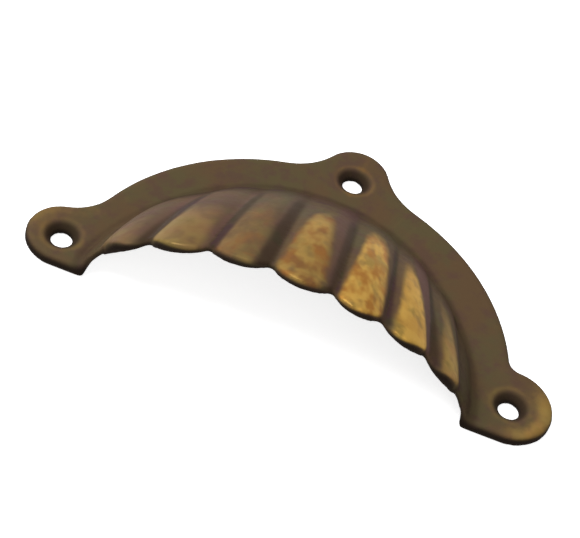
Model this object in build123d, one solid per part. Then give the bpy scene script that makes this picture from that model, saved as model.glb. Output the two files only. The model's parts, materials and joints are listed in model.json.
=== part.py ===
from build123d import *

import os
from math import atan2, cos, degrees, hypot, pi, radians, sin, sqrt, tan

# Cast brass drawer pull, one piece: a flat flange with three screw ears round a
# fluted hood that is open behind and below, for the fingers.
# Frame: the mounting face is z = 0, x runs along the pull, y runs up the drawer
# front to the top ear, and z points out of the drawer front. The origin is
# midway between the two end screw holes. Sizes are in millimetres and degrees.

# Screw holes, for countersunk wood screws. The mounting width lies between the end ones.
MOUNTING_WIDTH = 90.0
SHANK_HOLE_DIAMETER = 4.0
COUNTERSINK_DIAMETER = 7.0
COUNTERSINK_ANGLE = 90.0

# Flange: its outer edge is an arc that passes just inside the end holes, by the inset
FLANGE_THICKNESS = 2.6
ARC_INSET_DEPTH = 0.9
ARC_CENTRE_X = 0.5
ARC_CENTRE_Y = -2.4
EDGE_CHAMFER = 0.7

# Hood: its root follows the flange's arc, a band inside it at the crown, and its
# crown line is one arc from there out to the rim. Its sides stand off the end
# holes, so that a screw head and a driver pass them. It was set slightly askew.
BAND_WIDTH = 9.2
HOLE_TO_HOOD = 5.8
HOOD_PROJECTION = 21.5
RIM_Y = -5.0
CROWN_TURN = 30.0
WALL = 1.6
ROOT_FULLNESS = 1.15
RIM_FULLNESS = 1.05
HOOD_SHIFT_X = -0.5
HOOD_SKEW = -1.5

# Flutes: angles from the centre line to each groove, left to right. The pattern
# was cut by eye, so the grooves are not quite even. The hollow's flutes have only
# a share of the roundness, so the wall is thickest under each crest.
GROOVE_ANGLES_ROOT = (-56.0, -34.0, -20.0, -7.0, 8.0, 21.0, 33.0, 47.0)
GROOVE_ANGLES_RIM = (-66.5, -44.6, -24.3, -6.5, 11.3, 26.8, 44.3, 64.0)
FLUTE_ROUNDNESS_ROOT = 0.05
FLUTE_ROUNDNESS_RIM = 0.17
FLANK_ROUNDNESS = 0.03
HOLLOW_FLUTE_SHARE = 0.5

# Tongues: how far each flute runs past its notches at the rim, left to right
TONGUE_DEPTHS = (2.6, 3.3, 3.5, 3.7, 3.5, 3.2, 2.7)

# Ears, with the fillets that lead into them. They were dressed by hand, so the
# end ears differ a little and the top one stands to the right.
LEFT_EAR_RADIUS = 7.2
RIGHT_EAR_RADIUS = 8.3
EAR_RISE = 0.6
TOP_EAR_RADIUS = 7.0
TOP_EAR_SHIFT_X = 2.0
TOP_HOLE_INSET_DEPTH = 0.9
TOP_EAR_BEYOND_HOLE = 2.2
LEFT_EAR_FILLET = 10.0
RIGHT_EAR_FILLET = 2.6
TOP_EAR_FILLET = 14.0

# Construction allowances outside the finished part
HINGE_DROP = 3.0
HINGE_RADIUS = 1.0
HOOD_OVERRUN = 7.0
HOLLOW_OVERRUN = 14.0
CUTTER_MARGIN = 5.0
STATION_COUNT = 5

# Sizes that follow
END_HOLE_X = MOUNTING_WIDTH / 2
HOOD_HALF_WIDTH = END_HOLE_X - HOLE_TO_HOOD
ARC_RADIUS = END_HOLE_X - ARC_INSET_DEPTH
HOOD_ROOT_Y = ARC_CENTRE_Y + ARC_RADIUS - BAND_WIDTH
TOP_HOLE_Y = ARC_CENTRE_Y + ARC_RADIUS - TOP_HOLE_INSET_DEPTH
FOOT_INNER_X = HOOD_HALF_WIDTH - WALL / 2
LEFT_FOOT_Y = EAR_RISE - LEFT_EAR_RADIUS
RIGHT_FOOT_Y = EAR_RISE - RIGHT_EAR_RADIUS


def crown_arc():
    """Centre (y, z), radius and slope at the rim of the arc that the crown line follows."""
    rise = HOOD_PROJECTION - FLANGE_THICKNESS
    run = HOOD_ROOT_Y - RIM_Y
    radius = hypot(rise, run) / (2 * sin(radians(CROWN_TURN / 2)))
    rim_slope = degrees(atan2(rise, run)) - CROWN_TURN / 2
    centre_y = RIM_Y - radius * sin(radians(rim_slope))
    centre_z = HOOD_PROJECTION - radius * cos(radians(rim_slope))
    return centre_y, centre_z, radius, rim_slope


def crown_point(share, inset):
    """Point (y, z) of the crown line, from 0 below the flange to 1 at the rim."""
    centre_y, centre_z, radius, rim_slope = crown_arc()
    cosine = (-HINGE_DROP - centre_z) / radius
    root_slope = degrees(atan2(sqrt(1 - cosine * cosine), cosine))
    slope = root_slope + (rim_slope - root_slope) * share
    reach = radius - inset
    return centre_y + reach * sin(radians(slope)), centre_z + reach * cos(radians(slope))


def station(share, inset, overrun):
    """Closed fluted outline across the hood, in one plane of a fan of planes.

    The planes turn about a hinge line behind the mouth, from the root (share 0)
    to the rim (share 1). Past the rim, overrun moves the plane straight down.
    inset is 0 for the outside and the wall for the inside.
    """
    if overrun:
        rim_z = crown_point(1.0, inset)[1]
        crown_y, crown_z = RIM_Y - overrun, rim_z + overrun * sin(radians(crown_arc()[3]))
    elif share == 1.0:
        crown_y, crown_z = RIM_Y, crown_point(1.0, inset)[1]
    else:
        crown_y, crown_z = crown_point(share, inset)
    hinge_y = RIM_Y - overrun
    reach = hypot(crown_y - hinge_y, crown_z + HINGE_DROP)
    out_y = (crown_y - hinge_y) / reach
    out_z = (crown_z + HINGE_DROP) / reach
    half_width = HOOD_HALF_WIDTH - inset
    fullness = between(ROOT_FULLNESS, RIM_FULLNESS, share)
    roundness = between(FLUTE_ROUNDNESS_ROOT, FLUTE_ROUNDNESS_RIM, share)
    if inset:
        roundness *= HOLLOW_FLUTE_SHARE

    def base_point(angle):
        lift = (reach - HINGE_RADIUS) * max(cos(radians(angle)), 0.0) ** fullness
        return half_width * sin(radians(angle)), HINGE_RADIUS + lift

    def in_space(flat):
        across, lift = flat
        return Vector(across, hinge_y + out_y * lift, -HINGE_DROP + out_z * lift)

    grooves = [between(root, rim, share) for root, rim in zip(GROOVE_ANGLES_ROOT, GROOVE_ANGLES_RIM)]
    angles = [-90.0] + grooves + [90.0]
    edges = []
    for index, (first, last) in enumerate(zip(angles[:-1], angles[1:])):
        start, end = base_point(first), base_point(last)
        chord = hypot(end[0] - start[0], end[1] - start[1])
        normal = ((start[1] - end[1]) / chord, (end[0] - start[0]) / chord)
        if index in (0, len(angles) - 2):
            middle = base_point((first + last) / 2)
            swell = chord * FLANK_ROUNDNESS
        else:
            middle = ((start[0] + end[0]) / 2, (start[1] + end[1]) / 2)
            swell = chord * roundness
        crest = (middle[0] + normal[0] * swell, middle[1] + normal[1] * swell)
        edges.append(Edge.make_three_point_arc(in_space(start), in_space(crest), in_space(end)))
    edges.append(Edge.make_line(in_space(base_point(90.0)), in_space(base_point(-90.0))))
    return Wire(edges)


def between(low, high, share):
    """Value at a share of the way from low to high."""
    return low + (high - low) * share


def dome(inset, overrun):
    """Fluted solid dome: the outside of the hood, or the hollow within it."""
    shares = [index / (STATION_COUNT - 1) for index in range(STATION_COUNT)]
    outlines = [station(share, inset, 0.0) for share in shares]
    outlines.append(station(1.0, inset, overrun))
    return Solid.make_loft(outlines)


def rim_cutter():
    """Everything below the scalloped rim, seen from the front: one tongue to each flute.

    Its ends allow for the skew, so that the hood's sides end level with the feet.
    """
    notch_reach = HOOD_HALF_WIDTH - WALL / 2
    notches = [(notch_reach * sin(radians(angle)), RIM_Y) for angle in GROOVE_ANGLES_RIM]
    skew_drop = HOOD_HALF_WIDTH * sin(radians(HOOD_SKEW))
    left_end = (-HOOD_HALF_WIDTH, LEFT_FOOT_Y + skew_drop)
    right_end = (HOOD_HALF_WIDTH, RIGHT_FOOT_Y - skew_drop)
    edges = [Edge.make_line(left_end, notches[0])]
    for start, end, depth in zip(notches[:-1], notches[1:], TONGUE_DEPTHS):
        tip = ((start[0] + end[0]) / 2, RIM_Y - depth)
        edges.append(Edge.make_three_point_arc(start, tip, end))
    edges.append(Edge.make_line(notches[-1], right_end))
    side_x = HOOD_HALF_WIDTH + CUTTER_MARGIN
    bottom_y = RIM_Y - HOLLOW_OVERRUN
    surround = Polyline(
        right_end,
        (side_x, right_end[1]),
        (side_x, bottom_y),
        (-side_x, bottom_y),
        (-side_x, left_end[1]),
        left_end,
    )
    outline = make_face(edges + surround.edges())
    return Pos(0, 0, -HINGE_DROP - CUTTER_MARGIN) * extrude(outline, 2 * HOOD_PROJECTION)


def touching_centre(first, last, radius, side):
    """Centre of the circle that touches two circles (x, y, radius) from outside.

    side is 1 to the left of the line from first to last, and -1 to its right.
    """
    along = (last[0] - first[0], last[1] - first[1])
    distance = hypot(*along)
    from_first = first[2] + radius
    from_last = last[2] + radius
    advance = (distance**2 + from_first**2 - from_last**2) / (2 * distance)
    offset = side * sqrt(from_first**2 - advance**2)
    ux, uy = along[0] / distance, along[1] / distance
    return first[0] + ux * advance - uy * offset, first[1] + uy * advance + ux * offset


def toward(circle, point):
    """Point of a circle (x, y, radius) that lies nearest to an outside point."""
    distance = hypot(point[0] - circle[0], point[1] - circle[1])
    share = circle[2] / distance
    return circle[0] + (point[0] - circle[0]) * share, circle[1] + (point[1] - circle[1]) * share


def sweep(centre, start, end, clockwise):
    """Arc about a centre from start to end, the way round that is asked."""
    radius = hypot(start[0] - centre[0], start[1] - centre[1])
    first = atan2(start[1] - centre[1], start[0] - centre[0])
    last = atan2(end[1] - centre[1], end[0] - centre[0])
    turn = (last - first) % (2 * pi)
    if clockwise:
        turn -= 2 * pi
    middle = (centre[0] + radius * cos(first + turn / 2), centre[1] + radius * sin(first + turn / 2))
    return Edge.make_three_point_arc(start, middle, end)


def flange():
    """Flat flange: a chain of tangent arcs from foot to foot over the three ears."""
    left = (-END_HOLE_X, EAR_RISE, LEFT_EAR_RADIUS)
    right = (END_HOLE_X, EAR_RISE, RIGHT_EAR_RADIUS)
    top = (TOP_EAR_SHIFT_X, TOP_HOLE_Y + TOP_EAR_BEYOND_HOLE, TOP_EAR_RADIUS)
    band = (ARC_CENTRE_X, ARC_CENTRE_Y, ARC_RADIUS)
    chain = (
        (left, band, LEFT_EAR_FILLET, 1),
        (band, top, TOP_EAR_FILLET, 1),
        (top, band, TOP_EAR_FILLET, 1),
        (band, right, RIGHT_EAR_FILLET, 1),
    )
    here = (left[0], LEFT_FOOT_Y)
    edges = [Edge.make_line((HOOD_SHIFT_X - FOOT_INNER_X, LEFT_FOOT_Y), here)]
    for first, last, radius, side in chain:
        centre = touching_centre(first, last, radius, side)
        leave, land = toward(first, centre), toward(last, centre)
        edges.append(sweep(first[:2], here, leave, True))
        edges.append(sweep(centre, leave, land, False))
        here = land
    foot = (right[0], RIGHT_FOOT_Y)
    edges.append(sweep(right[:2], here, foot, True))
    corner = (HOOD_SHIFT_X + FOOT_INNER_X, RIGHT_FOOT_Y)
    edges.append(Edge.make_line(foot, corner))
    edges.append(Edge.make_line(corner, (HOOD_SHIFT_X - FOOT_INNER_X, LEFT_FOOT_Y)))
    plate = extrude(make_face(Wire(edges)), FLANGE_THICKNESS)
    upper = plate.faces().sort_by(Axis.Z)[-1]
    return chamfer(upper.edges(), EDGE_CHAMFER)


def screw_hole(x, y):
    """Cutter for one countersunk screw hole."""
    depth = FLANGE_THICKNESS + 2 * CUTTER_MARGIN
    shank = Pos(x, y, FLANGE_THICKNESS / 2) * Cylinder(SHANK_HOLE_DIAMETER / 2, depth)
    slope = tan(radians(COUNTERSINK_ANGLE / 2))
    sink = (COUNTERSINK_DIAMETER - SHANK_HOLE_DIAMETER) / 2 / slope
    wide = COUNTERSINK_DIAMETER / 2 + CUTTER_MARGIN * slope
    floor_up = (Align.CENTER, Align.CENTER, Align.MIN)
    cone = Cone(SHANK_HOLE_DIAMETER / 2, wide, sink + CUTTER_MARGIN, align=floor_up)
    return shank + Pos(x, y, FLANGE_THICKNESS - sink) * cone


def shell_pull():
    """The whole pull: flange and hood as one casting, hollowed, trimmed and drilled."""
    block = 2 * MOUNTING_WIDTH
    behind = Pos(0, 0, -block / 2) * Box(block, block, block)
    seat = Pos(HOOD_SHIFT_X, 0, 0) * Rot(0, 0, HOOD_SKEW)
    hollow = dome(WALL, HOLLOW_OVERRUN)
    hood = dome(0.0, HOOD_OVERRUN) - behind - hollow - rim_cutter()
    casting = (flange() - seat * hollow) + seat * hood
    for x, y in ((-END_HOLE_X, 0.0), (END_HOLE_X, 0.0), (TOP_EAR_SHIFT_X, TOP_HOLE_Y)):
        casting -= screw_hole(x, y)
    return casting


if __name__ == "__main__":
    os.makedirs("parts", exist_ok=True)
    export_step(shell_pull(), "parts/shell_pull.step")
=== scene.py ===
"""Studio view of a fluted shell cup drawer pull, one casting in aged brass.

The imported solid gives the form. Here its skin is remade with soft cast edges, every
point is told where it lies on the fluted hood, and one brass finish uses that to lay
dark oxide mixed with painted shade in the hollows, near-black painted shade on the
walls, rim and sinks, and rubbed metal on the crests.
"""

import json
import logging
import math
from dataclasses import dataclass, fields
from enum import Enum

import bmesh
import bpy
import numpy as np
from mathutils import Matrix, Vector
from mathutils.bvhtree import BVHTree

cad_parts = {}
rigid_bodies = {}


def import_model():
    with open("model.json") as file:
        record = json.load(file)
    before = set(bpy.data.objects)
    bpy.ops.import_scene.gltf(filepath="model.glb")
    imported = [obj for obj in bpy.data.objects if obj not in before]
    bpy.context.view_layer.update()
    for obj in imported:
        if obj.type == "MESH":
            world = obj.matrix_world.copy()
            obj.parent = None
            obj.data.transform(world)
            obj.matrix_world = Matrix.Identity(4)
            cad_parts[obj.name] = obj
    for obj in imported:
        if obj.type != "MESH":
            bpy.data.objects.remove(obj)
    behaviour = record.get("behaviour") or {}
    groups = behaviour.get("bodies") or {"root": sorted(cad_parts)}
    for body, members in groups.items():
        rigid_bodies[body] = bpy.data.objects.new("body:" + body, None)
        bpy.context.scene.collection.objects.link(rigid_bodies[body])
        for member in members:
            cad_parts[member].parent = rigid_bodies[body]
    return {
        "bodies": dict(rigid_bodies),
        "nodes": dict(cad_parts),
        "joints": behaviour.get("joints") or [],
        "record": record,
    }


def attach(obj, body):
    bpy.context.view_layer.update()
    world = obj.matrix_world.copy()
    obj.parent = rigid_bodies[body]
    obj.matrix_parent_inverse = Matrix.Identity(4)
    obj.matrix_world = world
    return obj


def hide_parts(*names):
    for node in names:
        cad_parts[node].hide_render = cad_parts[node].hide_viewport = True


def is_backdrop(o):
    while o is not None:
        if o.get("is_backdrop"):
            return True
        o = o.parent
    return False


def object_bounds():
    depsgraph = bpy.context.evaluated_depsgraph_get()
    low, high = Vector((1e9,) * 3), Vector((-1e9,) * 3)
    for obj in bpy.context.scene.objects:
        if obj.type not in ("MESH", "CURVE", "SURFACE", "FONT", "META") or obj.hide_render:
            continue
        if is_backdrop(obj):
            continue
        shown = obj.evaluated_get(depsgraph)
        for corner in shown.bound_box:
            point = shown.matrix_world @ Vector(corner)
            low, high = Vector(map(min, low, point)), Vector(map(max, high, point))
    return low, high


LOG = logging.getLogger("shell_pull")

MM = 0.001
Colour = tuple[float, float, float]
Pair = tuple[float, float]
Socket = bpy.types.NodeSocket


class Mark(Enum):
    """Point attributes that tell the finish where it is on the casting."""

    CREST = "crest"
    # Oxide with painted shade in the grooves, on the flanks and at the hood's root.
    GROOVE = "groove"
    # Painted shade: near-black on the flange's edges, the cut rim, the underside and the sinks.
    DARK_WALL = "dark_wall"
    FLUTE_TONE = "flute_tone"
    BLOTCHED = "blotched"
    STAINED = "stained"
    FLUTE_PLACE = "flute_place"


@dataclass(frozen=True)
class Fade:
    """Eased change of a share from nothing to its most, between two values.

    Attributes:
        none: Value at which the share leaves 0.
        full: Value at which the share reaches its most. It may be less than none.
        most: The largest share.
    """

    none: float
    full: float
    most: float = 1.0

    def at(self, value: np.ndarray) -> np.ndarray:
        """The share at each value."""
        way = np.clip((value - self.none) / (self.full - self.none), 0.0, 1.0)
        return self.most * (way * way * (3.0 - 2.0 * way))


@dataclass(frozen=True)
class HoodShape:
    """Sizes of the fluted hood in millimetres and degrees, as in the casting's drawing."""

    half_width: float = 39.2
    shift_x: float = -0.5
    skew: float = -1.5
    root_y: float = 32.5
    projection: float = 21.5
    rim_y: float = -5.0
    crown_turn: float = 30.0
    plate_thickness: float = 2.6
    root_fullness: float = 1.15
    rim_fullness: float = 1.05
    hinge_drop: float = 3.0
    hinge_radius: float = 1.0
    lift_range: Pair = (1e-4, 2.0)
    grooves_root: tuple[float, ...] = (-56.0, -34.0, -20.0, -7.0, 8.0, 21.0, 33.0, 47.0)
    grooves_rim: tuple[float, ...] = (-66.5, -44.6, -24.3, -6.5, 11.3, 26.8, 44.3, 64.0)
    root_reach: float = 1.8
    root_blend: Fade = Fade(1.0, 0.45)
    outside_wall: Fade = Fade(-1.2, -0.7)
    rim_facing: Fade = Fade(-0.45, -0.80)
    rim_nearness: Fade = Fade(-3.4, -4.2)

    def crown_radii(self, fan: np.ndarray) -> np.ndarray:
        """Distance from the hinge line to the crown line, at angles of the fan.

        Args:
            fan: Angles from straight out of the drawer front towards the root, in radians.

        Returns:
            The distances in millimetres.
        """
        rise = self.projection - self.plate_thickness
        run = self.root_y - self.rim_y
        radius = math.hypot(rise, run) / (2 * math.sin(math.radians(self.crown_turn / 2)))
        rim_slope = math.atan2(rise, run) - math.radians(self.crown_turn / 2)
        centre_y = -radius * math.sin(rim_slope)
        centre_z = self.projection - radius * math.cos(rim_slope) + self.hinge_drop
        along = np.sin(fan) * centre_y + np.cos(fan) * centre_z
        offset = centre_y**2 + centre_z**2 - radius**2
        return along + np.sqrt(along**2 - offset)

    def root_fan(self) -> float:
        """Fan angle of the hood's root on the crown line, in radians."""
        return math.atan2(self.root_y - self.rim_y, self.plate_thickness + self.hinge_drop)

    def flute_places(
        self, points: np.ndarray
    ) -> tuple[np.ndarray, np.ndarray, np.ndarray, np.ndarray]:
        """Where points lie on the hood.

        Args:
            points: Array of points in millimetres.

        Returns:
            The flute's number from the left, -1 on a flank; the place across it, from
            -1 to 1; the place along it, 0 at the root and 1 at the rim; and how far
            the point stands out from the hood's base surface, in millimetres.
        """
        turn_back = math.radians(-self.skew)
        from_left = points[:, 0] - self.shift_x
        sideways = math.cos(turn_back) * from_left - math.sin(turn_back) * points[:, 1]
        ahead = math.sin(turn_back) * from_left + math.cos(turn_back) * points[:, 1] - self.rim_y
        out = points[:, 2] + self.hinge_drop
        fan = np.clip(np.arctan2(ahead, out), 0.0, self.root_fan())
        share = 1.0 - fan / self.root_fan()
        crown = self.crown_radii(fan)
        fullness = self.root_fullness + (self.rim_fullness - self.root_fullness) * share
        reach = np.hypot(np.maximum(ahead, 0.0), out)
        lift = np.clip((reach - self.hinge_radius) / (crown - self.hinge_radius), *self.lift_range)
        turn = np.degrees(np.arctan2(sideways / self.half_width, lift ** (1.0 / fullness)))
        stand = (np.hypot(sideways / self.half_width, lift ** (1.0 / fullness)) - 1.0) * crown
        root = np.array(self.grooves_root)[None, :]
        rim = np.array(self.grooves_rim)[None, :]
        grooves = root + (rim - root) * share[:, None]
        number = (turn[:, None] > grooves).sum(axis=1) - 1
        inside = (number >= 0) & (number < grooves.shape[1] - 1)
        index = np.clip(number, 0, grooves.shape[1] - 2)
        rows = np.arange(len(points))
        low, high = grooves[rows, index], grooves[rows, index + 1]
        across = np.clip(2.0 * (turn - low) / (high - low) - 1.0, -1.0, 1.0)
        return np.where(inside, number, -1), across, share, stand

    def near_root(self, points: np.ndarray) -> np.ndarray:
        """Share by which points lie outside the wall at the hood's root on the flange.

        Args:
            points: Array of points in millimetres.

        Returns:
            The shares, from 0 to 1.
        """
        stand = self.flute_places(points)[3]
        apart = np.hypot(stand, points[:, 2] - self.plate_thickness) / self.root_reach
        return self.root_blend.at(apart) * self.outside_wall.at(stand)

    def rim_face(self, points: np.ndarray, normals: np.ndarray) -> np.ndarray:
        """Share by which points lie on the hood's cut rim.

        Args:
            points: Array of points in millimetres.
            normals: The points' normals.

        Returns:
            The shares, from 0 to 1.
        """
        return self.rim_facing.at(normals[:, 1]) * self.rim_nearness.at(points[:, 1])


@dataclass(frozen=True)
class CloudPattern:
    """Waves of a noise pattern.

    Attributes:
        scale: Waves per metre.
        detail: Octaves of finer waves.
        rough: How strong the finer waves are.
    """

    scale: float
    detail: float
    rough: float


class NodeNet:
    """Short ways to lay and link nodes in one tree."""

    def __init__(self, tree: bpy.types.NodeTree) -> None:
        """Keeps the tree that the nodes go into.

        Args:
            tree: The tree.
        """
        self.tree = tree

    def clear(self) -> None:
        """Removes every node of the tree."""
        self.tree.nodes.clear()

    def add(self, kind: str) -> bpy.types.Node:
        """A new node of that kind."""
        return self.tree.nodes.new(kind)

    def link(self, source: Socket, target: Socket) -> None:
        """Links a source socket to a target socket."""
        self.tree.links.new(source, target)

    def mark(self, mark: Mark, output: str = "Fac") -> Socket:
        """One of the casting's marks.

        Args:
            mark: The mark.
            output: "Fac" for its value, or "Vector" for the place that it holds.

        Returns:
            The mark's socket.
        """
        node = self.add("ShaderNodeAttribute")
        node.attribute_name = mark.value
        return node.outputs[output]

    def noise(self, place: Socket, pattern: CloudPattern) -> Socket:
        """Cloud pattern at a place.

        Args:
            place: Coordinates in metres.
            pattern: The pattern's waves.

        Returns:
            The pattern's value.
        """
        node = self.add("ShaderNodeTexNoise")
        node.inputs["Scale"].default_value = pattern.scale
        node.inputs["Detail"].default_value = pattern.detail
        node.inputs["Roughness"].default_value = pattern.rough
        self.link(place, node.inputs["Vector"])
        return node.outputs["Fac"]

    def fade(self, value: Socket, fade: Fade) -> Socket:
        """Share of a value, as a fade gives it.

        Args:
            value: The value's socket.
            fade: The fade, which rises from none to full.

        Returns:
            The share's socket.
        """
        node = self.add("ShaderNodeMapRange")
        node.interpolation_type = "SMOOTHSTEP"
        node.inputs["From Min"].default_value = fade.none
        node.inputs["From Max"].default_value = fade.full
        node.inputs["To Max"].default_value = fade.most
        self.link(value, node.inputs["Value"])
        return node.outputs["Result"]

    def maths(self, operation: str, *values: Socket | float) -> Socket:
        """One Math node.

        Args:
            operation: The node's operation.
            values: Its inputs, sockets or plain numbers.

        Returns:
            The result's socket.
        """
        node = self.add("ShaderNodeMath")
        node.operation = operation
        for socket, value in zip(node.inputs, values):
            if isinstance(value, Socket):
                self.link(value, socket)
            else:
                socket.default_value = value
        return node.outputs["Value"]

    def scaled(self, value: Socket, factor: float, offset: float = 0.0) -> Socket:
        """value times factor plus offset."""
        return self.maths("MULTIPLY_ADD", value, factor, offset)

    def inverse(self, value: Socket) -> Socket:
        """1 less the value."""
        return self.scaled(value, -1.0, 1.0)

    def swing(self, pattern: Socket, amount: float) -> Socket:
        """A pattern's value as a swing about 0, by half the amount each way."""
        return self.scaled(pattern, amount, -0.5 * amount)

    def multiply(self, first: Socket, second: Socket) -> Socket:
        """Product of two values."""
        return self.maths("MULTIPLY", first, second)

    def sum(self, *values: Socket) -> Socket:
        """Sum of several values.

        Args:
            values: The sockets to add.

        Returns:
            The sum's socket.
        """
        total = values[0]
        for value in values[1:]:
            total = self.maths("ADD", total, value)
        return total

    def mix(self, share: Socket, first: Socket | Colour, second: Socket | Colour) -> Socket:
        """Colour between two colours.

        Args:
            share: 0 for the first colour and 1 for the second.
            first: A socket or a plain colour.
            second: A socket or a plain colour.

        Returns:
            The mixed colour's socket.
        """
        node = self.add("ShaderNodeMix")
        node.data_type = "RGBA"
        node.clamp_factor = True
        # The node lists the sockets of all its data types; 6, 7 and output 2 are the colours.
        self.link(share, node.inputs[0])
        for socket, colour in ((node.inputs[6], first), (node.inputs[7], second)):
            if isinstance(colour, Socket):
                self.link(colour, socket)
            else:
                socket.default_value = (*colour, 1.0)
        return node.outputs[2]

    def background_rays(self) -> Socket:
        """Tells the rays that show the background from those that light the pull.

        Returns:
            1 for rays that are straight, mirrored or through glass, and 0 for the rest.
        """
        rays = self.add("ShaderNodeLightPath")
        seen = self.maths("MAXIMUM", rays.outputs["Is Camera Ray"], rays.outputs["Is Glossy Ray"])
        return self.maths("MAXIMUM", seen, rays.outputs["Is Transmission Ray"])


@dataclass(frozen=True)
class AgedBrass:
    """Antique brass: dark oxide all over, rubbed back to metal where hands touch it.

    Colours are linear red, green and blue. A fade says between which values of its
    pattern or mark a colour comes in, and up to what share.
    """

    name: str = "aged_brass"
    oxide: Colour = (0.078, 0.048, 0.025)
    oxide_olive: Colour = (0.069, 0.053, 0.026)
    oxide_plum: Colour = (0.069, 0.038, 0.029)
    # Groove colours, for oxide mixed with painted shade.
    groove_brown: Colour = (0.029, 0.018, 0.010)
    groove_plum: Colour = (0.028, 0.013, 0.015)
    groove_green: Colour = (0.017, 0.018, 0.008)
    # Near-black colour of the painted shade on the walls, rim, underside and sinks.
    soot: Colour = (0.012, 0.008, 0.006)
    brass: Colour = (0.405, 0.240, 0.052)
    brass_pale: Colour = (0.116, 0.092, 0.036)
    brass_rosy: Colour = (0.122, 0.070, 0.042)
    brass_orange: Colour = (0.245, 0.098, 0.018)
    brass_olive: Colour = (0.125, 0.090, 0.025)
    stain_plum: Colour = (0.098, 0.048, 0.042)
    broad_clouds: CloudPattern = CloudPattern(85.0, 4.0, 0.60)
    small_clouds: CloudPattern = CloudPattern(260.0, 4.0, 0.60)
    specks: CloudPattern = CloudPattern(900.0, 3.0, 0.60)
    grains: CloudPattern = CloudPattern(2600.0, 2.0, 0.50)
    tints: CloudPattern = CloudPattern(120.0, 2.0, 0.50)
    patches: CloudPattern = CloudPattern(210.0, 3.0, 0.55)
    blotches: CloudPattern = CloudPattern(300.0, 2.0, 0.50)
    flecks: CloudPattern = CloudPattern(380.0, 1.0, 0.45)
    olive_oxide: Fade = Fade(0.40, 0.64)
    plum_oxide: Fade = Fade(0.46, 0.66, 0.60)
    rosy_tints: Fade = Fade(0.42, 0.60)
    olive_patches: Fade = Fade(0.46, 0.66, 0.60)
    orange_blotches: Fade = Fade(0.40, 0.64)
    oxide_flecks: Fade = Fade(0.52, 0.74, 0.42)
    plum_dirt: Fade = Fade(0.50, 0.62)
    green_dirt: Fade = Fade(0.52, 0.68, 0.70)
    rubbed: Fade = Fade(0.04, 0.88)
    rubbed_ragged: float = 0.80
    stained: Fade = Fade(0.05, 0.95, 0.80)
    stained_ragged: float = 0.60
    # Groove darkening: oxide with painted shade.
    sooty: Fade = Fade(0.05, 1.00)
    sooty_ragged: float = 0.40
    sooty_cover: float = 0.85
    sheen_level: float = 0.03
    sheen_tint: Colour = (1.000, 0.860, 0.660)
    oxide_metal: float = 0.02
    brass_metal: float = 0.52
    oxide_roughness: float = 0.62
    brass_roughness: float = 0.48
    wall_roughness: float = 0.20
    roughness_swing: float = 0.16
    speck_height: float = 0.60
    grain_height: float = 0.25
    bump_strength: float = 0.30
    bump_depth: float = 0.12 * MM

    def build(self) -> bpy.types.Material:
        """The material, with its masks read from the casting's own marks.

        Returns:
            The new material.
        """
        material = bpy.data.materials.new(self.name)
        material.use_nodes = True
        net = NodeNet(material.node_tree)
        net.clear()
        place = net.add("ShaderNodeTexCoord").outputs["Object"]
        down_flute = net.mark(Mark.FLUTE_PLACE, "Vector")
        small = net.noise(place, self.small_clouds)
        speck = net.noise(place, self.specks)
        tint = net.noise(down_flute, self.tints)
        patch = net.noise(down_flute, self.patches)
        blotch = net.noise(down_flute, self.blotches)
        wall = net.mark(Mark.DARK_WALL)
        crest = net.sum(net.mark(Mark.CREST), net.swing(patch, self.rubbed_ragged))
        rubbed = net.fade(crest, self.rubbed)
        stain = net.sum(net.mark(Mark.STAINED), net.swing(blotch, self.stained_ragged))
        groove = net.sum(net.mark(Mark.GROOVE), net.swing(small, self.sooty_ragged))
        sooty = net.fade(groove, self.sooty)

        oxide = self.oxide_colour(net, net.noise(place, self.broad_clouds), small)
        fleck = net.noise(down_flute, self.flecks)
        colour = net.mix(rubbed, oxide, self.brass_colour(net, tint, patch, blotch, fleck))
        colour = net.mix(net.fade(stain, self.stained), colour, self.stain_plum)
        dirt_and_shade = self.dirt_colour(net, tint, patch)
        # Grooves, flanks and root darkened: oxide with painted shade.
        colour = net.mix(net.scaled(sooty, self.sooty_cover), colour, dirt_and_shade)
        # Painted shade: the walls, rim, underside and sinks go near-black.
        colour = net.mix(wall, colour, self.soot)

        shader = net.add("ShaderNodeBsdfPrincipled")
        net.link(colour, shader.inputs["Base Color"])
        bare = net.multiply(rubbed, net.multiply(net.inverse(wall), net.inverse(sooty)))
        metal = net.scaled(bare, self.brass_metal - self.oxide_metal, self.oxide_metal)
        net.link(metal, shader.inputs["Metallic"])
        shader.inputs["Specular IOR Level"].default_value = self.sheen_level
        shader.inputs["Specular Tint"].default_value = (*self.sheen_tint, 1.0)
        rough = net.sum(
            net.scaled(bare, self.brass_roughness - self.oxide_roughness, self.oxide_roughness),
            net.swing(speck, self.roughness_swing),
            net.scaled(wall, self.wall_roughness),
        )
        net.link(rough, shader.inputs["Roughness"])
        net.link(self.surface_bump(net, place, speck), shader.inputs["Normal"])
        output = net.add("ShaderNodeOutputMaterial")
        net.link(shader.outputs["BSDF"], output.inputs["Surface"])
        return material

    def oxide_colour(self, net: NodeNet, broad: Socket, small: Socket) -> Socket:
        """Brown oxide with clouds of olive and plum.

        Args:
            net: The material's nodes.
            broad: Pattern of the olive clouds.
            small: Pattern of the plum clouds.

        Returns:
            The colour.
        """
        oxide = net.mix(net.fade(broad, self.olive_oxide), self.oxide, self.oxide_olive)
        return net.mix(net.fade(small, self.plum_oxide), oxide, self.oxide_plum)

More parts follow.
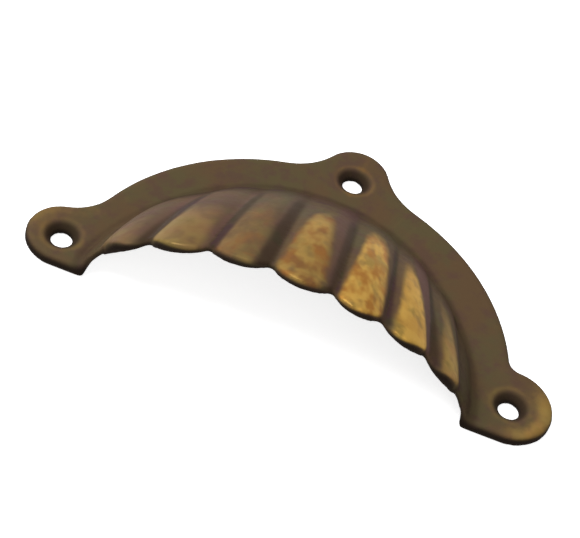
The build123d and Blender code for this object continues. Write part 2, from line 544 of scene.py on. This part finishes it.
    def brass_colour(
        self, net: NodeNet, tint: Socket, patch: Socket, blotch: Socket, fleck: Socket
    ) -> Socket:
        """Rubbed brass: each flute's tone, with olive, orange and oxide spots.

        Args:
            net: The material's nodes.
            tint: Pattern of the rosy tint of the pale flutes.
            patch: Pattern of the olive spots.
            blotch: Pattern of the orange spots.
            fleck: Pattern of the oxide spots.

        Returns:
            The colour.
        """
        pale = net.mix(net.fade(tint, self.rosy_tints), self.brass_pale, self.brass_rosy)
        brass = net.mix(net.mark(Mark.FLUTE_TONE), pale, self.brass)
        brass = net.mix(net.fade(patch, self.olive_patches), brass, self.brass_olive)
        orange = net.multiply(net.fade(blotch, self.orange_blotches), net.mark(Mark.BLOTCHED))
        brass = net.mix(orange, brass, self.brass_orange)
        return net.mix(net.fade(fleck, self.oxide_flecks), brass, self.oxide)

    def dirt_colour(self, net: NodeNet, tint: Socket, patch: Socket) -> Socket:
        """Dirt and painted shade of the grooves, brown with plum and green.

        Args:
            net: The material's nodes.
            tint: Pattern of the plum.
            patch: Pattern of the green.

        Returns:
            The colour.
        """
        dirt_and_shade = net.mix(net.fade(tint, self.plum_dirt), self.groove_brown, self.groove_plum)
        return net.mix(net.fade(patch, self.green_dirt), dirt_and_shade, self.groove_green)

    def surface_bump(self, net: NodeNet, place: Socket, speck: Socket) -> Socket:
        """Fine sand texture of the casting.

        Args:
            net: The material's nodes.
            place: Coordinates in metres.
            speck: Pattern of the coarser grains.

        Returns:
            The bumped normal.
        """
        grain = net.noise(place, self.grains)
        height = net.sum(net.scaled(speck, self.speck_height), net.scaled(grain, self.grain_height))
        bump = net.add("ShaderNodeBump")
        bump.inputs["Strength"].default_value = self.bump_strength
        bump.inputs["Distance"].default_value = self.bump_depth
        net.link(height, bump.inputs["Height"])
        return bump.outputs["Normal"]


def read_points(mesh: bpy.types.Mesh) -> np.ndarray:
    """Reads the mesh's points.

    Args:
        mesh: The mesh.

    Returns:
        One row for each point, in metres.
    """
    points = np.empty(len(mesh.vertices) * 3, np.float32)
    mesh.vertices.foreach_get("co", points)
    return points.reshape(-1, 3).astype(float)


def write_points(mesh: bpy.types.Mesh, points: np.ndarray) -> None:
    """Moves the mesh's points."""
    mesh.vertices.foreach_set("co", points.astype(np.float32).ravel())
    mesh.update()


def read_normals(mesh: bpy.types.Mesh) -> np.ndarray:
    """Reads the mesh's point normals.

    Args:
        mesh: The mesh.

    Returns:
        One row for each point.
    """
    normals = np.empty(len(mesh.vertices) * 3, np.float32)
    mesh.vertex_normals.foreach_get("vector", normals)
    return normals.reshape(-1, 3).astype(float)


def write_mark(mesh: bpy.types.Mesh, mark: Mark, values: np.ndarray) -> None:
    """Writes values as a point attribute under the mark's name."""
    attribute = mesh.attributes.new(mark.value, "FLOAT", "POINT")
    attribute.data.foreach_set("value", values.astype(np.float32))


def write_place(mesh: bpy.types.Mesh, mark: Mark, places: np.ndarray) -> None:
    """Writes places as a point attribute under the mark's name."""
    attribute = mesh.attributes.new(mark.value, "FLOAT_VECTOR", "POINT")
    attribute.data.foreach_set("vector", places.astype(np.float32).ravel())


def baked_mesh(source: bpy.types.Object, name: str) -> bpy.types.Mesh:
    """Copies the object's mesh with its modifiers applied.

    Args:
        source: The object.
        name: Name of the new mesh.

    Returns:
        The new mesh.
    """
    graph = bpy.context.evaluated_depsgraph_get()
    mesh = bpy.data.meshes.new_from_object(source.evaluated_get(graph))
    mesh.name = name
    return mesh


class Neighbours:
    """Averages over the points that share an edge with each point of a mesh."""

    step: float = 0.50

    def __init__(self, mesh: bpy.types.Mesh) -> None:
        """Reads which points share an edge.

        Args:
            mesh: The mesh whose edges are used.
        """
        edges = np.empty(len(mesh.edges) * 2, np.int32)
        mesh.edges.foreach_get("vertices", edges)
        first, last = edges.reshape(-1, 2).T
        self.source = np.concatenate([first, last])
        self.target = np.concatenate([last, first])
        self.size = len(mesh.vertices)
        self.count = np.bincount(self.target, minlength=self.size).astype(float)

    def mean(self, values: np.ndarray) -> np.ndarray:
        """Mean of each point's neighbours, column by column."""
        columns = [
            np.bincount(self.target, weights=values[self.source, axis], minlength=self.size)
            for axis in range(values.shape[1])
        ]
        return np.stack(columns, axis=1) / self.count[:, None]

    def smoothed(self, values: np.ndarray, share: float | np.ndarray = 1.0) -> np.ndarray:
        """Values moved half way to the mean of their neighbours, by a share."""
        return values + self.step * share * (self.mean(values) - values)


@dataclass(frozen=True)
class FluteWear:
    """How one flute is rubbed, stained and darkened with oxide and painted shade.

    Places across run from -1 to 1 and places along from 0 to 1. Where there are two
    values, they hold at the start of the rub and at the rim.

    Attributes:
        rub: How bright the crest is rubbed.
        start: Place along at which the rub starts.
        left: Left edge of the rub.
        right: Right edge of the rub.
        tone: 0 for pale brass and 1 for gold.
        blotches: How strong the orange spots are.
        stain: How strong the plum stain right of the rub is.
        groove: How dark the grooves at its sides are, oxide with painted shade.
        dark_left: Place across at which the left groove's dark starts.
        dark_right: Place across at which the right groove's dark starts.
        root_shade: How dark it is at the root, oxide with painted shade.
    """

    rub: Pair
    start: float
    left: Pair
    right: Pair
    tone: float
    blotches: float
    stain: float
    groove: float
    dark_left: float
    dark_right: float
    root_shade: float


@dataclass(frozen=True)
class EarWear:
    """How the brass round one screw hole is rubbed.

    Attributes:
        hole: Centre of the hole in millimetres.
        share: How bright the rubbed patch beside the hole is.
        turn: Direction of the patch from the hole, in degrees.
    """

    hole: Pair
    share: float
    turn: float


@dataclass(frozen=True)
class SkinReading:
    """Where each point of the skin lies, in millimetres, and how its flute is worn.

    Attributes:
        points: The points.
        normals: Their normals.
        number: Number of the flute from the left, -1 off the flutes.
        across: Place across the flute.
        along: Place along the flute.
        stand: How far the point stands out from the hood's base surface.
        height: How far the point is above the flange's face.
        worn: Each field of FluteWear, as its value at each point.
    """

    points: np.ndarray
    normals: np.ndarray
    number: np.ndarray
    across: np.ndarray
    along: np.ndarray
    stand: np.ndarray
    height: np.ndarray
    worn: dict[str, np.ndarray]

    def on_flute(self) -> np.ndarray:
        """1 on a flute and 0 elsewhere."""
        return (self.number >= 0).astype(float)

    def running(self, key: str) -> np.ndarray:
        """A pair of FluteWear, run from the start of the rub to the rim.

        Args:
            key: Name of the field.

        Returns:
            Its value at each point.
        """
        start = self.worn["start"]
        far = np.clip((self.along - start) / (1.0 - start), 0.0, 1.0)
        first, last = self.worn[key].T
        return first + far * (last - first)


@dataclass(frozen=True)
class WearMap:
    """Where the casting is rubbed bright, stained, or dark with oxide and painted shade.

    Fades of a stand, a height, the lip, the ears, the sinks and the rings round them
    take millimetres. Those called facing, off and underside take a part of the normal,
    patch_turn takes a cosine, and the others take places across and along a flute.
    """

    hood: HoodShape = HoodShape()
    flutes: tuple[FluteWear, ...] = (
        FluteWear(
            rub=(-0.25, 0.62), start=0.20, left=(-0.90, -0.95), right=(0.45, 0.70),
            tone=0.15, blotches=0.20, stain=0.60,
            groove=0.95, dark_left=-0.98, dark_right=0.66, root_shade=0.90,
        ),
        FluteWear(
            rub=(-0.80, 1.35), start=0.10, left=(-0.35, -0.70), right=(0.60, 0.75),
            tone=0.25, blotches=0.20, stain=0.60,
            groove=0.95, dark_left=-0.54, dark_right=0.82, root_shade=0.80,
        ),
        FluteWear(
            rub=(0.08, 0.48), start=0.16, left=(-0.45, -0.85), right=(0.30, 0.60),
            tone=0.45, blotches=0.80, stain=0.55,
            groove=0.95, dark_left=-0.60, dark_right=0.45, root_shade=0.70,
        ),
        FluteWear(
            rub=(0.64, 0.50), start=0.20, left=(-0.50, -0.95), right=(0.10, 0.60),
            tone=0.90, blotches=1.00, stain=0.60,
            groove=0.80, dark_left=-0.90, dark_right=0.58, root_shade=0.55,
        ),
        FluteWear(
            rub=(0.95, 1.06), start=0.15, left=(-0.40, -0.90), right=(0.45, 0.75),
            tone=1.00, blotches=0.90, stain=0.15,
            groove=1.05, dark_left=-0.84, dark_right=0.74, root_shade=0.50,
        ),
        FluteWear(
            rub=(0.90, 1.20), start=0.22, left=(-0.50, -0.75), right=(-0.05, 0.66),
            tone=1.00, blotches=0.30, stain=0.90,
            groove=1.15, dark_left=-0.80, dark_right=0.86, root_shade=0.50,
        ),
        FluteWear(
            rub=(0.50, 0.80), start=0.22, left=(-0.45, -0.65), right=(0.00, 0.55),
            tone=0.45, blotches=0.20, stain=0.30,
            groove=0.90, dark_left=-0.66, dark_right=0.55, root_shade=0.50,
        ),
    )
    ears: tuple[EarWear, ...] = (
        EarWear((-45.0, 0.0), 0.36, 125.0),
        EarWear((45.0, 0.0), 0.70, -15.0),
        EarWear((2.0, 40.8), 0.10, 90.0),
    )
    crest_rise: float = 1.75
    lip_skin: Fade = Fade(-0.60, 0.0)
    outer_stand: Fade = Fade(-1.2, -0.6)
    outer_height: Fade = Fade(-0.1, 0.7)
    off_rim: Fade = Fade(-0.60, -0.30)
    off_hollow: Fade = Fade(-0.30, 0.0)
    rub_left: Fade = Fade(-0.10, 0.25)
    rub_right: Fade = Fade(0.30, -0.25)
    rub_start: Fade = Fade(-0.10, 0.30)
    groove_left: Fade = Fade(0.10, -0.16)
    groove_right: Fade = Fade(0.0, 0.30)
    groove_down: Fade = Fade(0.0, 0.35)
    groove_at_root: float = 0.45
    # Oxide with painted shade at the hood's root and on its flanks.
    root_shade: Fade = Fade(0.32, 0.06)
    flank_soot: float = 0.50
    root_soot: Fade = Fade(1.2, 0.0, 0.60)
    stain_edge: Fade = Fade(-0.10, 0.25)
    pale_stain: float = 0.90
    # Painted shade on the flange's edges, the underside and the sinks.
    facing_aside: Fade = Fade(0.80, 0.40)
    side_height: Fade = Fade(0.1, -0.7)
    underside: Fade = Fade(-0.05, -0.35, 0.55)
    sink_radius: float = 3.5
    sink_edge: Fade = Fade(0.3, -0.3)
    sink_depth: Fade = Fade(0.0, -0.6, 0.75)
    patch_turn: Fade = Fade(-0.1, 0.9)
    ear_inner: Fade = Fade(3.6, 6.2)
    ear_outer: Fade = Fade(11.0, 9.0)
    ring_inner: Fade = Fade(3.3, 3.7)
    ring_outer: Fade = Fade(4.9, 4.2, 0.30)
    facing_out: Fade = Fade(0.1, 0.5)
    ear_height: Fade = Fade(-1.2, -0.8)
    flank_tone: float = 0.4
    flank_blotches: float = 0.2
    pattern_half_width: float = 5.5
    pattern_length: float = 20.0
    pattern_spacing: float = 30.0

    def read(self, mesh: bpy.types.Mesh) -> SkinReading:
        """Finds where the skin's points lie.

        Args:
            mesh: The softened skin.

        Returns:
            The places of its points.
        """
        points = read_points(mesh) / MM
        number, across, along, stand = self.hood.flute_places(points)
        height = points[:, 2] - self.hood.plate_thickness
        index = np.clip(number, 0, len(self.flutes) - 1)
        worn = {
            field.name: np.array([getattr(flute, field.name) for flute in self.flutes])[index]
            for field in fields(FluteWear)
        }
        return SkinReading(
            points, read_normals(mesh), number, across, along, stand, height, worn
        )

    def marks(self, skin: SkinReading) -> dict[Mark, np.ndarray]:
        """The marks that are plain values.

        Args:
            skin: Where the points lie.

        Returns:
            For each mark, its value at each point.
        """
        crest_line = self.crest_rise * (1.0 - skin.across**2)
        lip = self.lip_skin.at(skin.stand - crest_line)
        outer = self.outer_face(skin, lip)
        flute = skin.number >= 0
        return {
            Mark.CREST: np.maximum(self.rubbed_flutes(skin, outer), self.rubbed_ears(skin)),
            Mark.GROOVE: self.dark_grooves(skin, outer),
            Mark.DARK_WALL: self.dark_walls(skin, lip),
            Mark.FLUTE_TONE: np.where(flute, skin.worn["tone"], self.flank_tone),
            Mark.BLOTCHED: np.where(flute, skin.worn["blotches"], self.flank_blotches),
            Mark.STAINED: self.stains(skin, outer),
        }

    def outer_face(self, skin: SkinReading, lip: np.ndarray) -> np.ndarray:
        """Share by which points lie on the outer face of the hood.

        Args:
            skin: Where the points lie.
            lip: Share by which points belong to the outer skin at the lip.

        Returns:
            The shares, from 0 to 1.
        """
        outer = self.outer_stand.at(skin.stand) * self.outer_height.at(skin.height)
        outer *= np.maximum(self.off_rim.at(skin.normals[:, 1]), lip)
        return outer * self.off_hollow.at(skin.normals[:, 2])

    def rub_begun(self, skin: SkinReading) -> np.ndarray:
        """Share by which each flute's rub has begun, down from the root."""
        return self.rub_start.at(skin.along - skin.worn["start"])

    def rubbed_flutes(self, skin: SkinReading, outer: np.ndarray) -> np.ndarray:
        """How bright the flutes are rubbed.

        Args:
            skin: Where the points lie.
            outer: Share by which points lie on the hood's outer face.

        Returns:
            The brightness, negative where the oxide has stayed whole.
        """
        body = self.rub_left.at(skin.across - skin.running("left"))
        body *= self.rub_right.at(skin.across - skin.running("right"))
        return outer * skin.on_flute() * skin.running("rub") * body * self.rub_begun(skin)

    def rubbed_ears(self, skin: SkinReading) -> np.ndarray:
        """How bright the ears are rubbed, beside each hole and on its ring.

        Args:
            skin: Where the points lie.

        Returns:
            The brightness, 0 away from the ears.
        """
        x, y = skin.points[:, 0], skin.points[:, 1]
        face = self.facing_out.at(skin.normals[:, 2]) * self.ear_height.at(skin.height)
        rubbed = np.zeros(len(x))
        for ear in self.ears:
            reach = np.hypot(x - ear.hole[0], y - ear.hole[1])
            aside = np.arctan2(y - ear.hole[1], x - ear.hole[0]) - math.radians(ear.turn)
            patch = ear.share * self.patch_turn.at(np.cos(aside)) * self.ear_inner.at(reach)
            patch *= self.ear_outer.at(reach)
            ring = self.ring_outer.at(reach) * self.ring_inner.at(reach)
            rubbed = np.maximum(rubbed, np.maximum(patch, ring) * face)
        return rubbed

    def dark_grooves(self, skin: SkinReading, outer: np.ndarray) -> np.ndarray:
        """How dark the grooves, the flanks and the hood's root are, oxide with painted shade.

        Args:
            skin: Where the points lie.
            outer: Share by which points lie on the hood's outer face.

        Returns:
            The darkness.
        """
        right = self.groove_right.at(skin.across - skin.worn["dark_right"])
        left = self.groove_left.at(skin.across - skin.worn["dark_left"])
        deepening = (1.0 - self.groove_at_root) * self.groove_down.at(skin.along)
        cleft = np.maximum(right, left) * (self.groove_at_root + deepening)
        groove = outer * skin.on_flute() * skin.worn["groove"] * cleft
        shade = outer * skin.worn["root_shade"] * self.root_shade.at(skin.along)
        flank = self.flank_soot * outer * (1.0 - skin.on_flute())
        root = self.hood.near_root(skin.points) * self.root_soot.at(skin.height)
        return np.maximum.reduce([groove, shade, flank, root])

    def stains(self, skin: SkinReading, outer: np.ndarray) -> np.ndarray:
        """How strong the plum stain is, right of each rub and on the pale flutes.

        Args:
            skin: Where the points lie.
            outer: Share by which points lie on the hood's outer face.

        Returns:
            The strength, from 0 to 1.
        """
        stain = outer * skin.on_flute() * skin.worn["stain"]
        beside = stain * self.stain_edge.at(skin.across - skin.running("right"))
        pale = self.pale_stain * stain * (1.0 - skin.worn["tone"]) * self.rub_begun(skin)
        return np.maximum(beside, pale)

    def dark_walls(self, skin: SkinReading, lip: np.ndarray) -> np.ndarray:
        """Painted shade: how black the flange's edge, the cut rim, the hollow and the sinks are.

        Args:
            skin: Where the points lie.
            lip: Share by which points belong to the outer skin at the lip.

        Returns:
            The blackness, from 0 to 1.
        """
        facing = self.facing_aside.at(np.abs(skin.normals[:, 2]))
        side = facing * self.side_height.at(skin.height)
        rim = self.hood.rim_face(skin.points, skin.normals) * (1.0 - lip)
        under = self.underside.at(skin.normals[:, 2])
        walls = np.maximum.reduce([side, rim, under])
        for ear in self.ears:
            reach = np.hypot(skin.points[:, 0] - ear.hole[0], skin.points[:, 1] - ear.hole[1])
            sink = self.sink_edge.at(reach - self.sink_radius) * self.sink_depth.at(skin.height)
            walls = np.maximum(walls, sink)
        return np.clip(walls, 0.0, 1.0)

    def pattern_places(self, skin: SkinReading) -> np.ndarray:
        """Places for the finish's patterns: each flute laid flat, and the rest as it is.

        Args:
            skin: Where the points lie.

        Returns:
            The places in millimetres.
        """
        past_rim = np.maximum(self.hood.rim_y - skin.points[:, 1], 0.0)
        sideways = skin.across * self.pattern_half_width
        down = skin.along * self.pattern_length + past_rim
        flat = np.stack([sideways, down, skin.number * self.pattern_spacing], axis=1)
        return np.where(skin.number[:, None] >= 0, flat, skin.points)


@dataclass
class Casting:
    """The whole pull: flange, ears and fluted hood in one piece of cast brass."""

    name: str = "shell_pull_casting"
    node: str = "shell_pull"
    slot: str = "aged_brass"
    wear: WearMap = WearMap()
    finish: AgedBrass = AgedBrass()
    merge_distance: float = 0.001 * MM
    skin_grid: float = 0.375 * MM
    lip_spread: int = 4
    softening_passes: int = 7
    rim_passes: int = 14
    root_passes: int = 26
    mark_passes: int = 4
    dent_depth: float = 0.10 * MM
    dent_size: float = 5.0 * MM
    dent_seed: float = 3.0
    dent_detail: float = 2.0

    def build(self, frame: dict, box: tuple) -> bpy.types.Object:
        """Makes the skin, marks it, finishes it and puts it in the solid's place.

        Args:
            box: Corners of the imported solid's box.

        Returns:
            The finished piece.
        """
        skin = self.remade_skin(frame["nodes"][self.node])
        self.soften(skin.data, box)
        self.mark_points(skin.data)
        piece = self.cast_finish(skin)
        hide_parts(self.node)
        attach(piece, "root")
        return piece

    def remade_skin(self, solid: bpy.types.Object) -> bpy.types.Object:
        """Even grid of small faces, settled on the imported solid's surface.

        Args:
            solid: The node's object.

        Returns:
            A new object with the skin as a plain mesh.
        """
        work = bmesh.new()
        work.from_mesh(solid.data)
        bmesh.ops.remove_doubles(work, verts=work.verts, dist=self.merge_distance)
        surface = BVHTree.FromBMesh(work)
        mesh = bpy.data.meshes.new(self.name)
        work.to_mesh(mesh)
        work.free()
        rough = bpy.data.objects.new(self.name + "_rough", mesh)
        bpy.context.scene.collection.objects.link(rough)
        remesh = rough.modifiers.new("skin", "REMESH")
        remesh.mode = "VOXEL"
        remesh.voxel_size = self.skin_grid
        skin = bpy.data.objects.new(self.name, baked_mesh(rough, self.name))
        bpy.context.scene.collection.objects.link(skin)
        bpy.data.objects.remove(rough)
        points = read_points(skin.data)
        settled = np.array([surface.find_nearest(Vector(point))[0] for point in points])
        write_points(skin.data, settled)
        return skin

    def soften(self, mesh: bpy.types.Mesh, box: tuple) -> None:
        """Rounds the cast edges and clears the steps of the grid.

        Args:
            mesh: The skin.
            box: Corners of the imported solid's box, which no point leaves.
        """
        hood = self.wear.hood
        points = read_points(mesh)
        ring = Neighbours(mesh)
        lip = hood.rim_face(points / MM, read_normals(mesh))[:, None]
        for _ in range(self.lip_spread):
            lip = np.maximum(lip, ring.mean(lip))
        for _ in range(self.softening_passes):
            points = ring.smoothed(points)
        for _ in range(self.rim_passes):
            points = ring.smoothed(points, lip)
        for _ in range(self.root_passes):
            points = ring.smoothed(points, hood.near_root(points / MM)[:, None])
        points = np.clip(points, np.array(box[0]), np.array(box[1]))
        write_points(mesh, points)

    def mark_points(self, mesh: bpy.types.Mesh) -> None:
        """Writes each Mark on the mesh's points.

        Args:
            mesh: The softened skin.
        """
        skin = self.wear.read(mesh)
        marks = self.wear.marks(skin)
        table = np.stack(list(marks.values()), axis=1)
        ring = Neighbours(mesh)
        for _ in range(self.mark_passes):
            table = ring.smoothed(table)
        for mark, values in zip(marks, table.T):
            write_mark(mesh, mark, values)
        write_place(mesh, Mark.FLUTE_PLACE, self.wear.pattern_places(skin) * MM)

    def cast_finish(self, skin: bpy.types.Object) -> bpy.types.Object:
        """Gives the skin its shallow cast dents and its material, with Geometry Nodes.

        Args:
            skin: The marked skin, which is used up.

        Returns:
            The finished piece, a plain mesh with no modifier.
        """
        tree = self.dent_tree()
        modifier = skin.modifiers.new("cast dents", "NODES")
        modifier.node_group = tree
        values = {
            "Dent Depth": self.dent_depth,
            "Dent Size": self.dent_size,
            "Seed": self.dent_seed,
            "Finish": self.finish.build(),
        }
        for socket in tree.interface.items_tree:
            if socket.name in values:
                modifier[socket.identifier] = values[socket.name]
        piece = bpy.data.objects.new(self.name, baked_mesh(skin, self.name))
        bpy.context.scene.collection.objects.link(piece)
        bpy.data.objects.remove(skin)
        piece.name = self.name
        return piece

    def dent_tree(self) -> bpy.types.NodeTree:
        """Geometry Nodes tree that moves points along their normals by a seeded pattern.

        Returns:
            The tree, with the depth, size, seed and finish as named inputs.
        """
        tree = bpy.data.node_groups.new("cast_dents", "GeometryNodeTree")
        face = tree.interface
        face.new_socket("Geometry", in_out="INPUT", socket_type="NodeSocketGeometry")
        for name in ("Dent Depth", "Dent Size", "Seed"):
            face.new_socket(name, in_out="INPUT", socket_type="NodeSocketFloat")
        face.new_socket("Finish", in_out="INPUT", socket_type="NodeSocketMaterial")
        face.new_socket("Geometry", in_out="OUTPUT", socket_type="NodeSocketGeometry")
        net = NodeNet(tree)
        given = net.add("NodeGroupInput")
        place = net.add("GeometryNodeInputPosition")
        normal = net.add("GeometryNodeInputNormal")
        noise = net.add("ShaderNodeTexNoise")
        noise.noise_dimensions = "4D"
        noise.inputs["Detail"].default_value = self.dent_detail
        net.link(place.outputs["Position"], noise.inputs["Vector"])
        net.link(given.outputs["Seed"], noise.inputs["W"])
        net.link(net.maths("DIVIDE", 1.0, given.outputs["Dent Size"]), noise.inputs["Scale"])
        inward = net.maths("SUBTRACT", noise.outputs["Fac"], 1.0)
        push = net.add("ShaderNodeVectorMath")
        push.operation = "SCALE"
        net.link(normal.outputs["Normal"], push.inputs[0])
        net.link(net.multiply(inward, given.outputs["Dent Depth"]), push.inputs["Scale"])
        move = net.add("GeometryNodeSetPosition")
        net.link(push.outputs["Vector"], move.inputs["Offset"])
        smooth = net.add("GeometryNodeSetShadeSmooth")
        real = net.add("GeometryNodeRealizeInstances")
        paint = net.add("GeometryNodeSetMaterial")
        net.link(given.outputs["Finish"], paint.inputs["Material"])
        flow = (given, move, smooth, real, paint, net.add("NodeGroupOutput"))
        for source, target in zip(flow, flow[1:]):
            net.link(source.outputs["Geometry"], target.inputs["Geometry"])
        return tree


@dataclass(frozen=True)
class Viewpoint:
    """Camera that sees the pull as the photograph does: from the mouth side, rolled.

    Attributes:
        azimuth: Turn round the pull from straight in front, in degrees.
        elevation: Angle above the mounting face, in degrees.
        roll: Turn of the picture, in degrees.
        pixels_per_mm: Scale of the picture at the origin.
        nearness: One over the distance in millimetres.
        origin_pixel: Where the origin is in the picture.
        image_size: Width and height of the picture in pixels.
        sensor_width: Width of the camera's sensor in millimetres.
        clip_start: Nearest distance that the camera sees, in metres.
    """

    azimuth: float = 4.0
    elevation: float = 48.0
    roll: float = -17.9
    pixels_per_mm: float = 5.31
    nearness: float = 0.003
    origin_pixel: Pair = (282.6, 327.5)
    image_size: tuple[int, int] = (580, 538)
    sensor_width: float = 36.0
    clip_start: float = 0.01

    def axes(self) -> Matrix:
        """Rows of the camera's right, up and back directions.

        Returns:
            The three rows.
        """
        turn, lift, roll = (math.radians(a) for a in (self.azimuth, self.elevation, self.roll))
        right = Vector((math.cos(turn), math.sin(turn), 0.0))
        ahead = Vector((math.sin(turn), -math.cos(turn), 0.0))
        back = math.cos(lift) * ahead + Vector((0.0, 0.0, math.sin(lift)))
        up = back.cross(right)
        rolled_right = math.cos(roll) * right - math.sin(roll) * up
        rolled_up = math.sin(roll) * right + math.cos(roll) * up
        return Matrix((rolled_right, rolled_up, back))

    def build(self) -> bpy.types.Object:
        """The camera, set as the scene's own.

        Returns:
            The camera object.
        """
        width, height = self.image_size
        distance = 1.0 / self.nearness
        across = (self.origin_pixel[0] - width / 2) / self.pixels_per_mm
        upward = (height / 2 - self.origin_pixel[1]) / self.pixels_per_mm
        turn = self.axes().transposed()
        place = turn @ Vector((-across, -upward, distance)) * MM
        data = bpy.data.cameras.new("photo_view")
        data.sensor_width = self.sensor_width
        data.lens = self.pixels_per_mm * distance * self.sensor_width / width
        data.clip_start = self.clip_start
        camera = bpy.data.objects.new("photo_view", data)
        camera.matrix_world = Matrix.Translation(place) @ turn.to_4x4()
        bpy.context.scene.collection.objects.link(camera)
        bpy.context.scene.camera = camera
        return camera


@dataclass(frozen=True)
class SoftLamp:
    """One square soft box that faces the pull, in metres and watts."""

    name: str
    place: tuple[float, float, float]
    size: float
    power: float
    colour: Colour = (1.0, 1.0, 1.0)
    aim: tuple[float, float, float] = (0.0, 0.01, 0.01)

    def build(self) -> bpy.types.Object:
        """The lamp, aimed at the pull.

        Returns:
            The lamp object.
        """
        data = bpy.data.lights.new(self.name, "AREA")
        data.size = self.size
        data.energy = self.power
        data.color = self.colour
        lamp = bpy.data.objects.new(self.name, data)
        lamp.location = self.place
        facing = Vector(self.aim) - Vector(self.place)
        lamp.rotation_euler = facing.to_track_quat("-Z", "Y").to_euler()
        bpy.context.scene.collection.objects.link(lamp)
        return lamp


@dataclass(frozen=True)
class Studio:
    """White table, even surroundings and soft lamps."""

    floor_half: float = 1.5
    floor_drop: float = 0.05 * MM
    floor_colour: Colour = (0.80, 0.80, 0.80)
    floor_glow: float = 0.78
    sky_colour: Colour = (1.0, 1.0, 1.0)
    sky_strength: float = 0.27
    lamps: tuple[SoftLamp, ...] = (
        SoftLamp("key", place=(-0.40, 0.02, 0.70), size=0.60, power=9.6),
        SoftLamp("fill", place=(0.30, -0.50, 0.50), size=0.60, power=1.4),
    )

    def build(self) -> None:
        """Adds the floor, the sky and the lamps, and sets the plain colour view."""
        self.floor()
        self.sky()
        for lamp in self.lamps:
            lamp.build()
        bpy.context.scene.view_settings.view_transform = "Standard"

    def floor(self) -> bpy.types.Object:
        """White floor that keeps the pull's shadow.

        Returns:
            The floor object.
        """
        half, low = self.floor_half, -self.floor_drop
        mesh = bpy.data.meshes.new("floor")
        corners = [(-half, -half, low), (half, -half, low), (half, half, low), (-half, half, low)]
        mesh.from_pydata(corners, [], [(0, 1, 2, 3)])
        floor = bpy.data.objects.new("floor", mesh)
        bpy.context.scene.collection.objects.link(floor)
        material = bpy.data.materials.new("white_table")
        material.use_nodes = True
        net = NodeNet(material.node_tree)
        net.clear()
        diffuse = net.add("ShaderNodeBsdfDiffuse")
        diffuse.inputs["Color"].default_value = (*self.floor_colour, 1.0)
        glow = net.add("ShaderNodeEmission")
        net.link(net.scaled(net.background_rays(), self.floor_glow), glow.inputs["Strength"])
        both = net.add("ShaderNodeAddShader")
        net.link(diffuse.outputs["BSDF"], both.inputs[0])
        net.link(glow.outputs["Emission"], both.inputs[1])
        output = net.add("ShaderNodeOutputMaterial")
        net.link(both.outputs["Shader"], output.inputs["Surface"])
        mesh.materials.append(material)
        floor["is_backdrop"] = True
        return floor

    def sky(self) -> None:
        """Even pale surroundings, pure white where the background is seen."""
        world = bpy.data.worlds.new("studio")
        world.use_nodes = True
        net = NodeNet(world.node_tree)
        net.clear()
        background = net.add("ShaderNodeBackground")
        background.inputs["Color"].default_value = (*self.sky_colour, 1.0)
        strength = net.scaled(net.background_rays(), 1.0 - self.sky_strength, self.sky_strength)
        net.link(strength, background.inputs["Strength"])
        output = net.add("ShaderNodeOutputWorld")
        net.link(background.outputs["Background"], output.inputs["Surface"])
        bpy.context.scene.world = world


def main() -> None:
    """Builds the view: camera, studio and casting."""
    logging.basicConfig(level=logging.INFO, format="%(name)s: %(message)s")
    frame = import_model()
    solid_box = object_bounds()
    Viewpoint().build()
    LOG.info("camera set")
    Studio().build()
    LOG.info("studio set")
    piece = Casting().build(frame, solid_box)
    LOG.info("%s: %d faces", piece.name, len(piece.data.polygons))


if __name__ == "__main__":
    main()
